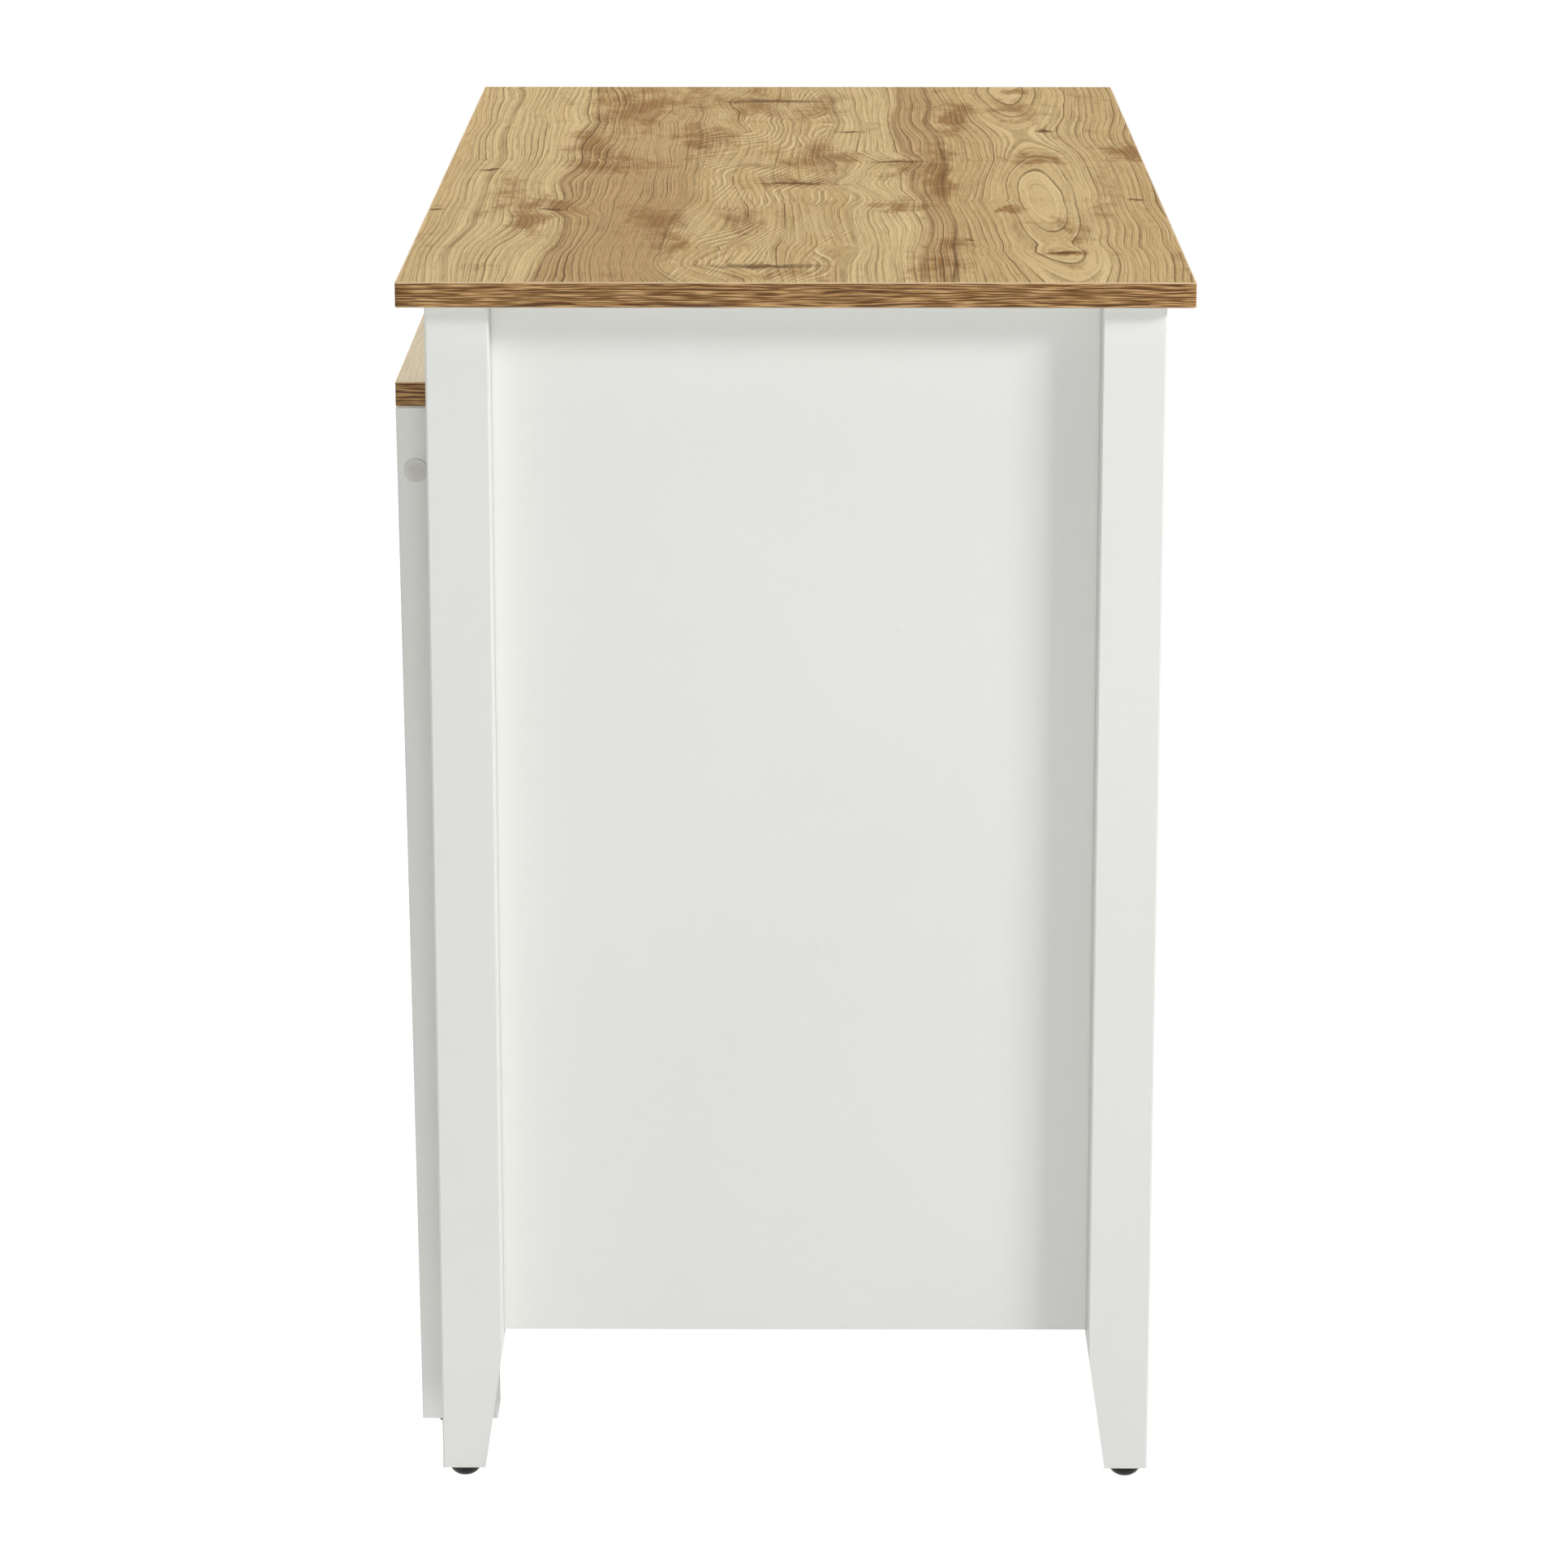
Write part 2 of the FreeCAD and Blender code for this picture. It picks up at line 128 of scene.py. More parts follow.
# share of a growth line's spacing, and how dark or how pale it is there
dark_side = [(0.0, 0.0), (0.03, 0.8), (0.08, 1.1), (0.15, 0.65), (0.28, 0.16), (0.6, 0.0), (1.0, 0.0)]
pale_side = [(0.0, 0.0), (0.78, 0.0), (0.94, 1.0), (1.0, 0.0)]
# share across the board from front to back, and the depth of the line there
strip_borders = [(0.0790, 0.8), (0.1980, 0.6), (0.3650, 1.0), (0.5630, 0.6), (0.6650, 0.8), (0.7070, 0.9)]
border_rise = 0.0022
border_fall = 0.0062
# share across the board, and the tone there
strips = [
    (0.0, "middle"),
    (0.06, "light"),
    (0.192, "light"),
    (0.204, "middle"),
    (0.55, "middle"),
    (0.57, "light"),
    (0.65, "light"),
    (0.67, "middle"),
    (0.76, "middle"),
    (0.87, "light"),
    (0.97, "middle"),
]
broad_brown = [(0.192, 0.0), (0.204, 1.0), (0.355, 1.0), (0.37, 0.0)]
narrow_brown = [(0.65, 0.0), (0.67, 0.9), (0.705, 0.9), (0.72, 0.0)]
oak_tones = {
    "light": (234, 206, 152),
    "middle": (222, 191, 136),
    "brown": (203, 168, 117),
    "aged": (190, 155, 98),
    "smoke": (158, 114, 58),
    "crease": (150, 110, 60),
    "dark_barb": (140, 105, 56),
    "pale_barb": (250, 232, 186),
    "pale_line": (248, 229, 182),
    "dark_line": (92, 62, 28),
    "mark": (94, 64, 30),
}
cream = (0.96, 0.885, 0.71, 1.0)
grain_shades = [(0.37, (0.56, 0.51, 0.43, 1.0)), (0.46, (0.80, 0.77, 0.72, 1.0)), (0.55, white)]
# x, y, half length, half width, depth of colour
smoky_patches = [
    (-0.405, -0.140, 0.154, 0.030, 0.9),
    (-0.461, -0.084, 0.086, 0.026, 0.6),
    (-0.217, -0.072, 0.103, 0.024, 0.9),
    (-0.154, -0.163, 0.090, 0.027, 0.7),
    (-0.033, -0.130, 0.045, 0.042, 0.8),
    (-0.433, -0.034, 0.113, 0.026, 0.6),
    (-0.405, 0.026, 0.098, 0.022, 0.7),
    (-0.081, 0.026, 0.108, 0.024, 0.8),
    (0.059, 0.005, 0.030, 0.040, 0.9),
    (-0.040, -0.020, 0.026, 0.020, 0.8),
    (-0.033, 0.088, 0.062, 0.019, 0.8),
    (0.178, 0.083, 0.042, 0.022, 0.7),
    (0.251, -0.036, 0.050, 0.013, 0.9),
    (0.261, -0.199, 0.065, 0.015, 0.8),
    (0.168, -0.192, 0.028, 0.026, 0.8),
    (0.092, -0.216, 0.088, 0.019, 0.5),
    (0.261, -0.110, 0.085, 0.021, 0.7),
    (0.321, -0.089, 0.120, 0.015, 0.7),
    (-0.322, 0.137, 0.162, 0.016, 0.8),
    (0.002, 0.118, 0.185, 0.012, 0.9),
    (0.199, 0.169, 0.024, 0.010, 1.5),
    (0.301, 0.209, 0.055, 0.021, 0.6),
    (0.416, 0.197, 0.017, 0.016, 1.4),
    (-0.117, 0.270, 0.054, 0.022, 0.9),
    (-0.081, 0.201, 0.024, 0.027, 0.7),
    (-0.391, 0.196, 0.069, 0.028, 0.6),
    (-0.519, 0.197, 0.018, 0.014, 1.2),
    (0.453, 0.113, 0.109, 0.013, 0.8),
    (0.507, 0.087, 0.053, 0.013, 0.5),
    (0.516, -0.006, 0.040, 0.040, 0.6),
]
# x, y, half thickness along X, half length along Y, depth of colour
cross_marks = [
    (0.477, -0.017, 0.014, 0.056, 1.0),
    (-0.447, -0.015, 0.016, 0.056, 1.0),
    (-0.014, -0.240, 0.007, 0.011, 1.6),
    (0.199, -0.181, 0.007, 0.012, 1.5),
    (0.199, -0.267, 0.007, 0.007, 1.4),
    (-0.064, 0.085, 0.007, 0.024, 1.5),
    (0.151, 0.267, 0.006, 0.009, 1.5),
    (0.360, 0.130, 0.006, 0.007, 1.2),
    (-0.243, 0.050, 0.008, 0.018, 1.0),
    (-0.248, 0.212, 0.010, 0.009, 1.6),
    (0.414, 0.197, 0.008, 0.014, 1.6),
    (0.062, 0.004, 0.008, 0.036, 1.2),
]


def paint(red, green, blue):
    """A colour given as it looks on a screen, 0 to 255, as the linear colour that a socket takes."""
    linear = []
    for part in (red, green, blue):
        share = part / 255
        if share <= 0.04045:
            linear.append(share / 12.92)
        else:
            linear.append(((share + 0.055) / 1.055) ** 2.4)
    return (*linear, 1.0)


class Reading:
    """The value of a node's socket. Arithmetic on it adds Math nodes to its tree."""

    def __init__(self, nodes, socket):
        self.nodes = nodes
        self.socket = socket

    def __add__(self, other):
        return self.nodes.math("ADD", self, other)

    def __radd__(self, other):
        return self.nodes.math("ADD", other, self)

    def __sub__(self, other):
        return self.nodes.math("SUBTRACT", self, other)

    def __rsub__(self, other):
        return self.nodes.math("SUBTRACT", other, self)

    def __mul__(self, other):
        return self.nodes.math("MULTIPLY", self, other)

    def __rmul__(self, other):
        return self.nodes.math("MULTIPLY", other, self)

    def __truediv__(self, other):
        return self.nodes.math("DIVIDE", self, other)

    def __rtruediv__(self, other):
        return self.nodes.math("DIVIDE", other, self)

    def __pow__(self, other):
        return self.nodes.math("POWER", self, other)

    def __rpow__(self, other):
        return self.nodes.math("POWER", other, self)


class Nodes:
    """A node tree that is filled node by node."""

    def __init__(self, tree):
        self.tree = tree
        self.tree.nodes.clear()

    def node(self, kind, settings, sockets, out=0):
        """Adds a node: its settings first, then the values or links of its sockets."""
        node = self.tree.nodes.new(kind)
        for name, value in settings.items():
            if name == "stops":
                set_stops(node.color_ramp, value)
            else:
                setattr(node, name, value)
        for name, value in sockets.items():
            for part in value if isinstance(value, list) else [value]:
                if isinstance(part, Reading):
                    self.tree.links.new(part.socket, node.inputs[name])
                else:
                    node.inputs[name].default_value = part
        return Reading(self, node.outputs[out]) if node.outputs else None

    def outputs(self, kind, sockets, names):
        """Adds a node of which several outputs are needed."""
        first = self.node(kind, {}, sockets)
        return [Reading(self, first.socket.node.outputs[name]) for name in names]

    def math(self, operation, *terms):
        return self.node("ShaderNodeMath", {"operation": operation}, dict(enumerate(terms)))

    def point(self, x, y, z=0.0):
        return self.node("ShaderNodeCombineXYZ", {}, {0: x, 1: y, 2: z})


def set_stops(ramp, stops):
    """Sets a colour ramp's stops, each one a share along it and a colour or a grey."""
    while len(ramp.elements) > 1:
        ramp.elements.remove(ramp.elements[-1])
    for k, (share, colour) in enumerate(stops):
        stop = ramp.elements[0] if k == 0 else ramp.elements.new(share)
        stop.position = share
        stop.color = (colour, colour, colour, 1.0) if isinstance(colour, float) else colour


class Finish(Nodes):
    """One material of the island, built node by node on object coordinates."""

    def __init__(self, name):
        self.material = bpy.data.materials.new(name)
        self.material.use_nodes = True
        super().__init__(self.material.node_tree)
        self.place = self.node("ShaderNodeTexCoord", {}, {}, out="Object")

    def axes(self):
        """The place on the surface as three numbers, in metres."""
        return self.outputs("ShaderNodeSeparateXYZ", {0: self.place}, ["X", "Y", "Z"])

    def noise(self, at, scale=1.0, detail=2.0, roughness=0.5):
        """Soft noise from 0 to 1, about 0.5 in the middle."""
        sockets = {"Vector": at, "Scale": scale, "Detail": detail, "Roughness": roughness}
        return self.node("ShaderNodeTexNoise", {"noise_dimensions": "3D"}, sockets)

    def swing(self, at, detail=2.0, roughness=0.5):
        """Soft noise that swings about 0, half a unit each way."""
        return self.noise(at, detail=detail, roughness=roughness) - 0.5

    def spread(self, value, low, high, to_low=0.0, to_high=1.0):
        """Value taken from one range to another, and held at the ends."""
        sockets = {0: value, 1: low, 2: high, 3: to_low, 4: to_high}
        return self.node("ShaderNodeMapRange", {"clamp": True}, sockets)

    def ramp(self, value, stops):
        return self.node("ShaderNodeValToRGB", {"stops": stops}, {0: value})

    def tint(self, factor, first, second, kind="MIX"):
        """Two colours mixed: the first where factor is 0 and the second where it is 1."""
        settings = {"data_type": "RGBA", "blend_type": kind}
        return self.node("ShaderNodeMix", settings, {0: factor, 6: first, 7: second}, out=2)

    def spots(self, at, places, start, growth=1.0):
        """Adds soft ellipses to a start, each with its depth in the middle and nothing at its rim."""
        total = start
        for x, y, half_x, half_y, depth in places:
            sockets = {"Vector": at, "Location": (x, y, 0), "Scale": (half_x * growth, half_y * growth, 1)}
            local = self.node("ShaderNodeMapping", {"vector_type": "TEXTURE"}, sockets)
            spot = self.node("ShaderNodeTexGradient", {"gradient_type": "SPHERICAL"}, {0: local}, out=1)
            total = spot * depth + total
        return total

    def close(self, sockets, height, bump_depth):
        """Closes the material with one shader and a bump, its height in shares of its depth."""
        bump = {"Strength": 1.0, "Distance": bump_depth, "Height": height}
        normal = self.node("ShaderNodeBump", {}, bump)
        shader = self.node("ShaderNodeBsdfPrincipled", {}, {**sockets, "Normal": normal})
        self.node("ShaderNodeOutputMaterial", {}, {"Surface": shader})
        return self.material


def across_grain(f, x, y):
    """Where a growth line would lie if it ran straight: y with the print's folds, bows and tremble."""
    fold = (x - fold_start) / fold_pitch
    step = f.math("FLOOR", fold)
    share = fold - step
    here = f.noise(f.point(step * 7.3, y * 9.0), detail=1.0)
    there = f.noise(f.point(step * 7.3 + 7.3, y * 9.0), detail=1.0)
    sway = here + (there - here) * share - 0.5
    bow = f.swing(f.point(step * 3.1 + 50.0, y * 13.0), detail=1.0) * share * (1.0 - share)
    calm = f.spread(y, 0.10, 0.17, 1.0, 0.35)
    drift = f.swing(f.point(x * 3.0, y * 4.0), detail=1.0)
    ripple = f.swing(f.point(x * 9.0, y * 22.0))
    tremble = f.swing(f.point(x * 42.0, y * 60.0))
    nearest = f.math("FLOOR", fold + 0.5)
    crease = f.spread(f.math("ABSOLUTE", fold - nearest), 0.0, 0.06, 1.0, 0.0)
    jog = f.swing(f.point(nearest * 5.7, y * 26.0), detail=1.0)
    across = y + (sway * 0.07 + bow * 0.16) * calm + drift * 0.03
    across = across + ripple * 0.004 * calm + tremble * 0.0010 + jog * crease * crease * 0.009
    return f.spots(f.point(x, y), notches, across), crease


def growth_lines(f, x, across):
    """The count of growth lines from the print's heart, how thin they are drawn, and the distance."""
    waist = widest_waist
    for eye, least in heart_eyes:
        waist = f.math("SMOOTH_MIN", f.math("ABSOLUTE", x - eye) * waist_slope + least, waist, 0.006)
    offset = across - heart_line
    from_heart = f.math("SQRT", offset * offset + waist * waist)
    wide = from_heart * lines_per_metre
    close = f.math("MAXIMUM", from_heart - heart_width, 0.0) * more_lines_outside
    crowded = f.spread(across, -0.160, -0.067, 7.5, 0.0)
    return wide + close + crowded, f.spread(from_heart, 0.025, 0.060, 1.9, 1.0), from_heart


def ragged_place(f, x, y, reach):
    """The place on the board with torn edges, for patches and marks."""
    tear = f.swing(f.point(x * 14.0 + y * 11.0, y * 32.0 - x * 5.0), detail=6.0, roughness=0.62)
    shift = f.swing(f.point(x * 13.0 - y * 9.0 + 9.0, y * 34.0 + x * 4.0), detail=6.0, roughness=0.62)
    return f.point(x + tear * reach, y + shift * reach * 0.38)


def feather_barbs(f, x, y, across):
    """The feather figure of the middle strip: short curved barbs, pale on one side and dark on the other."""
    sweep = f.noise(f.point(x * 4.0 + 7.0, y * 9.0), detail=1.0)
    barb = f.math("FRACT", x * 46.0 + sweep * 26.0 + y * 170.0)
    strip = f.spread(across, -0.085, -0.060) * f.spread(across, 0.028, 0.044, 1.0, 0.0)
    feathered = strip * f.spread(f.noise(f.point(x * 8.0 + 3.0, y * 34.0), detail=3.0), 0.46, 0.56)
    pale = f.ramp(barb, [(0.0, 0.0), (0.16, 1.0), (0.36, 0.0), (1.0, 0.0)]) * feathered
    dark = f.ramp(barb, [(0.0, 0.0), (0.62, 0.0), (0.86, 1.0), (1.0, 0.0)]) * feathered
    return pale, dark, feathered


def drawn_lines(f, x, y, across, count, thin, feathered):
    """The growth lines' dark and pale sides with the lines where strips meet, and each line's own weight."""
    line = f.math("FLOOR", count)
    share = count - line
    weight = f.node("ShaderNodeTexWhiteNoise", {"noise_dimensions": "1D"}, {"W": line})
    strong = f.spread(weight ** 2.5, 0.0, 0.8, 0.34, 1.1)
    fade = f.spread(f.noise(f.point(x * 7.0, y * 40.0)), 0.34, 0.6, 0.4, 1.0)
    dark = f.ramp(share * thin, dark_side) * strong * fade * (1.0 - feathered * 0.6)
    pale = f.ramp(share, pale_side) * strong * fade
    borders = [(0.0, 0.0)]
    for border, depth in strip_borders:
        borders += [(border - border_rise, 0.0), (border, depth), (border + border_fall, 0.0)]
    place = f.spread(across, -print_half_width, print_half_width)
    dark = f.math("MAXIMUM", dark, f.ramp(place, borders) * fade)
    return dark, pale, weight


def broad_strips(f, x, across, mottle, weight, tone):
    """Broad strips of lighter and darker wood that follow the growth lines."""
    place = f.spread(across + (mottle - 0.5) * 0.008, -print_half_width, print_half_width)
    colour = f.ramp(place, [(share, tone[name]) for share, name in strips])
    fading = f.spread(x + (mottle - 0.5) * 0.3, -0.22, 0.08, 0.35, 1.0)
    brown = f.ramp(place, narrow_brown) * 0.9 + f.ramp(place, broad_brown) * fading
    colour = f.tint(brown, colour, tone["brown"])
    return f.tint(weight * 0.30, colour, tone["aged"])


def smoke_depth(f, x, y, mottle, streak):
    """How deep the smoky patches are, with faint clouds between them."""
    patches = f.spots(ragged_place(f, x, y, patch_tear), smoky_patches, 0.0, patch_growth)
    clouds = f.spread(f.noise(f.point(x * 7.0 + 4.0, y * 22.0), detail=3.0), 0.50, 0.72)
    depth = patches + clouds * 0.4 + (mottle - 0.5) * 2.1 + (streak - 0.5) * 0.7
    return f.spread(depth, 0.22, 0.80)


def washed(tone, share):
    """A tone of the print brought a share of the way to cream."""
    return tuple(part + (cream_part - part) * share for part, cream_part in zip(tone, cream))


def oak_print(f, x, y, wash):
    """A rustic oak print with growth lines, smoky patches and cross marks, washed pale by a share; on the
    lower top that wash is a painted highlight.
    """
    tone = {name: washed(paint(*shade), wash) for name, shade in oak_tones.items()}
    across, crease = across_grain(f, x, y)
    count, thin, from_heart = growth_lines(f, x, across)
    pale_barb, dark_barb, feathered = feather_barbs(f, x, y, across)
    dark_line, pale_line, weight = drawn_lines(f, x, y, across, count, thin, feathered)

    # Fine lines between the growth lines, the wood's fibre, blotches, and streaks across the grain
    fine = f.noise(f.point(x * 5.0, count * 4.2), roughness=0.7)
    fibre = f.noise(f.point(x * 30.0, y * 480.0), detail=4.0, roughness=0.75)
    mottle = f.noise(f.point(x * 19.0 + y * 12.0, y * 46.0 - x * 6.0), detail=6.0, roughness=0.68)
    streak = f.noise(f.point(x * 95.0, y * 26.0), detail=3.0, roughness=0.6)

    colour = broad_strips(f, x, across, mottle, weight, tone)
    colour = f.tint(smoke_depth(f, x, y, mottle, streak) * 0.86, colour, tone["smoke"])
    grained = f.tint(1.0, colour, f.ramp(fine * 0.65 + fibre * 0.35, grain_shades), "MULTIPLY")
    grain_depth = f.spread(from_heart, 0.006, 0.030, 0.35, 1.0) * (1.0 - wash * 0.8)
    colour = f.tint(grain_depth, colour, grained)

    marks = f.spots(ragged_place(f, x, y, mark_tear), cross_marks, 0.0)
    marks = f.math("MINIMUM", marks * 1.3, 1.0)
    crossed = crease * f.spread(streak, 0.40, 0.62) * f.spread(mottle, 0.42, 0.58)
    layers = [
        (crossed * 0.26, "crease"),
        (dark_barb * 0.5, "dark_barb"),
        (pale_barb * 0.75, "pale_barb"),
        (pale_line * 0.35, "pale_line"),
        (dark_line * 0.92, "dark_line"),
        (marks * 0.85, "mark"),
    ]
    for depth, name in layers:
        colour = f.tint(depth, colour, tone[name])
    return colour, dark_line, marks, fibre


def oak_laminate(name, wash, shift, rim, under):
    """A board's face: the oak print, a painted highlight along the arris just under its top rim, and a pale
    balancing sheet underneath.
    """
    f = Finish(name)
    x, y, z = f.axes()
    colour, dark_line, marks, fibre = oak_print(f, x + shift, y, wash)
    # Painted highlight: the arris just under the top rim is tinted pale cream.
    rim_highlight = f.spread(z, rim - 0.0006, rim - 0.0001, 1.0, 0.0)
    colour = f.tint(rim_highlight * 0.5, colour, paint(232, 206, 171))
    backing = f.spread(z, under + 0.0004, under + 0.0010, 1.0, 0.0)
    colour = f.tint(backing, colour, paint(222, 221, 215))
    height = fibre * 0.35 - dark_line * 0.5 - marks * 0.5
    rough = f.spread(dark_line + marks, 0.0, 1.0, 0.66, 0.78)
    sockets = {"Base Color": colour, "Roughness": rough, "Specular IOR Level": 0.06}
    return f.close(sockets, height, bump_depth=0.00007)


def oak_edge_band(name, rim, under):
    """The edge band: brown streaks and thin dark threads along the board, a painted highlight along its top
    arris and a paler line along its bottom arris.
    """
    f = Finish(name)
    x, y, z = f.axes()
    along = x + y
    level = z + f.swing(f.point(along * 10.0, z * 40.0)) * 0.002
    tone = f.noise(f.point(along * 12.0, level * 160.0), roughness=0.6)
    streak = f.noise(f.point(along * 42.0, level * 1400.0), detail=1.0)
    pores = f.noise(f.point(along * 90.0, level * 2200.0))
    count = level * 500.0 + f.noise(f.point(along * 8.0 + 5.0, level * 130.0), detail=1.0) * 4.0
    dark_part = [(0.0, 0.0), (0.2, 1.0), (0.35, 1.0), (0.6, 0.0), (1.0, 0.0)]
    unbroken = f.spread(f.noise(f.point(along * 26.0, count * 1.1), detail=1.0), 0.42, 0.50)
    threads = f.ramp(f.math("FRACT", count), dark_part) * unbroken
    browns = [(0.36, paint(104, 66, 24)), (0.48, paint(151, 111, 61)), (0.60, paint(202, 162, 110))]
    colour = f.ramp(tone * 0.1 + streak * 0.9, browns)
    colour = f.tint(threads * 0.95, colour, paint(80, 46, 14))
    colour = f.tint(f.spread(pores, 0.62, 0.75) * 0.35, colour, paint(108, 74, 40))
    # Painted highlight along the top arris; the bottom arris is made paler too.
    top_highlight = f.spread(z, rim - 0.0012, rim - 0.0004)
    lower = f.spread(z, under + 0.0004, under + 0.0012, 1.0, 0.0)
    colour = f.tint(top_highlight * 0.9 + lower * 0.3, colour, paint(234, 206, 164))
    height = streak - threads * 0.6 + pores * 0.3
    rough = f.spread(streak, 0.35, 0.65, 0.56, 0.44)
    sockets = {"Base Color": colour, "Roughness": rough, "Specular IOR Level": 0.25}
    return f.close(sockets, height, bump_depth=0.00025)


def white_lacquer():
    """Sprayed white lacquer: a fine orange peel, slow clouds in the coat and a soft sheen."""
    f = Finish("white_lacquer")
    slow = f.noise(f.place, scale=4.0)
    peel = f.noise(f.place, scale=850.0, detail=1.0)
    nibs = f.noise(f.place, scale=260.0)
    colour = f.ramp(slow, [(0.3, paint(230, 231, 226)), (0.7, paint(233, 234, 230))])
    colour = f.tint(f.spread(nibs, 0.70, 0.78) * 0.25, colour, paint(205, 205, 199))
    rough = slow * 0.10 + peel * 0.06 + 0.36
    sockets = {"Base Color": colour, "Roughness": rough, "Specular IOR Level": 0.45}
    return f.close(sockets, peel * 0.5 + slow * 2.0, bump_depth=0.00008)


def pine_batten():
    """Planed pine under a thin white paint, with its growth lines along Y just showing."""
    f = Finish("pine_batten")
    x, y, z = f.axes()
    bend = f.swing(f.point(y * 4.0, x * 20.0, z * 20.0))
    rings = f.math("FRACT", (z * 1.2 + x) * 260.0 + bend * 5.0)
    line = f.ramp(rings, [(0.0, 0.3), (0.12, 1.0), (0.22, 0.2), (0.8, 0.05), (1.0, 0.3)])
    fibre = f.noise(f.point(x * 700.0, y * 22.0, z * 700.0), detail=3.0)
    colour = f.ramp(fibre, [(0.3, paint(218, 215, 204)), (0.7, paint(230, 228, 220))])
    colour = f.tint(line * 0.35, colour, paint(206, 196, 174))
    rough = f.spread(line, 0.0, 1.0, 0.60, 0.48)
    sockets = {"Base Color": colour, "Roughness": rough}
    return f.close(sockets, fibre * 0.5 + line * 0.5, bump_depth=0.0002)


def beech():
    """Turned beech: pale pink brown with short dark flecks."""
    f = Finish("beech")
    x, y, z = f.axes()
    fibre = f.noise(f.point(x * 240.0, y * 240.0, z * 240.0), detail=3.0)
    fleck = f.spread(f.noise(f.point(x * 520.0, y * 520.0, z * 520.0)), 0.60, 0.70)
    colour = f.ramp(fibre, [(0.3, paint(206, 168, 128)), (0.7, paint(224, 190, 152))])
    colour = f.tint(fleck * 0.5, colour, paint(164, 120, 82))
    rough = f.spread(fibre, 0.3, 0.7, 0.60, 0.50)
    return f.close({"Base Color": colour, "Roughness": rough}, fibre, bump_depth=0.0002)


def black_plastic():
    """Moulded black plastic: spark-eroded grain, scuffed grey where it meets the floor."""
    f = Finish("black_plastic")
    x, y, z = f.axes()
    grain = f.noise(f.place, scale=1400.0)
    scratches = f.noise(f.point(x * 90.0, y * 700.0, z * 300.0))
    scuff = f.spread(z, 0.0, 0.004, 1.0, 0.0) * f.spread(scratches, 0.45, 0.65)
    colour = f.tint(scuff * 0.4, paint(17, 17, 18), paint(70, 68, 65))
    rough = grain * 0.12 + scuff * 0.25 + 0.40
    sockets = {"Base Color": colour, "Roughness": rough, "Specular IOR Level": 0.25}
    return f.close(sockets, grain, bump_depth=0.00006)


def cap_plastic():
    """The cover caps: pale grey moulded plastic with a soft sheen, paler round the rim."""
    f = Finish("cap_plastic")
    y, z = f.axes()[1:]
    away_y = y - (cap_low.y + cap_high.y) / 2
    away_z = z - (cap_low.z + cap_high.z) / 2
    from_middle = f.math("SQRT", away_y * away_y + away_z * away_z)
    rim = f.spread(from_middle, 0.0052, 0.0086)
    cloud = f.noise(f.place, scale=120.0, detail=3.0)
    grain = f.noise(f.place, scale=1600.0, detail=1.0)
    colour = f.ramp(cloud, [(0.3, paint(197, 195, 190)), (0.7, paint(208, 206, 201))])
    colour = f.tint(rim * 0.7, colour, paint(218, 217, 212))
    rough = cloud * 0.12 + 0.34
    return f.close({"Base Color": colour, "Roughness": rough}, grain, bump_depth=0.00004)


def zinc_steel():
    """Zinc-plated steel: rolled streaks along Y and slight clouds in the plating."""
    f = Finish("zinc_steel")
    x, y, z = f.axes()
    rolled = f.noise(f.point(x * 900.0, y * 30.0, z * 900.0), detail=3.0)
    cloud = f.noise(f.place, scale=45.0, detail=4.0, roughness=0.6)
    colour = f.ramp(cloud, [(0.3, paint(186, 188, 192)), (0.7, paint(199, 201, 204))])
    colour = f.tint(rolled * 0.3, colour, paint(158, 160, 164))
    rough = cloud * 0.12 + rolled * 0.14 + 0.34
    sockets = {"Base Color": colour, "Roughness": rough, "Metallic": 1.0}
    return f.close(sockets, rolled, bump_depth=0.00005)


finishes = {
    "oak_laminate": oak_laminate("oak_laminate", 0.0, 0.0, worktop_rim, worktop_under),
    "worktop_band": oak_edge_band("worktop_band", worktop_rim, worktop_under),
    "table_band": oak_edge_band("table_band", table_rim, table_under),
    # Paler copy of the oak for the lower top: a painted highlight.
    "pale_laminate": oak_laminate("pale_laminate", table_glare_wash, table_print_shift, table_rim, table_under),
    "white_lacquer": white_lacquer(),
    "pine_batten": pine_batten(),
    "beech": beech(),
    "black_plastic": black_plastic(),
    "cap_plastic": cap_plastic(),
    "zinc_steel": zinc_steel(),
}

own_finish = {
    "worktop": "oak_laminate",
    "worktop_edge_bands": "worktop_band",
    "table_top": "pale_laminate",
    "table_top_edge_bands": "table_band",
    "leg_glides": "black_plastic",
    "table_glides": "black_plastic",
    "table_bolt_caps": "cap_plastic",
    "slide_batten_left": "pine_batten",
    "slide_batten_right": "pine_batten",
    "frame_dowels": "beech",
    "table_dowels": "beech",
}
ironwork = ("slide_", "bracket", "bolt", "screw", "barrel", "pins")


def finish_of(node):
    """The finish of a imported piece: its own one, steel for the ironwork, and white lacquer for the rest."""
    if node in own_finish:
        return finishes[own_finish[node]]
    if any(word in node for word in ironwork):
        return finishes["zinc_steel"]
    return finishes["white_lacquer"]


def dress_frame():
    for name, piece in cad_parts.items():
        piece.data.materials.clear()
        piece.data.materials.append(finish_of(name))


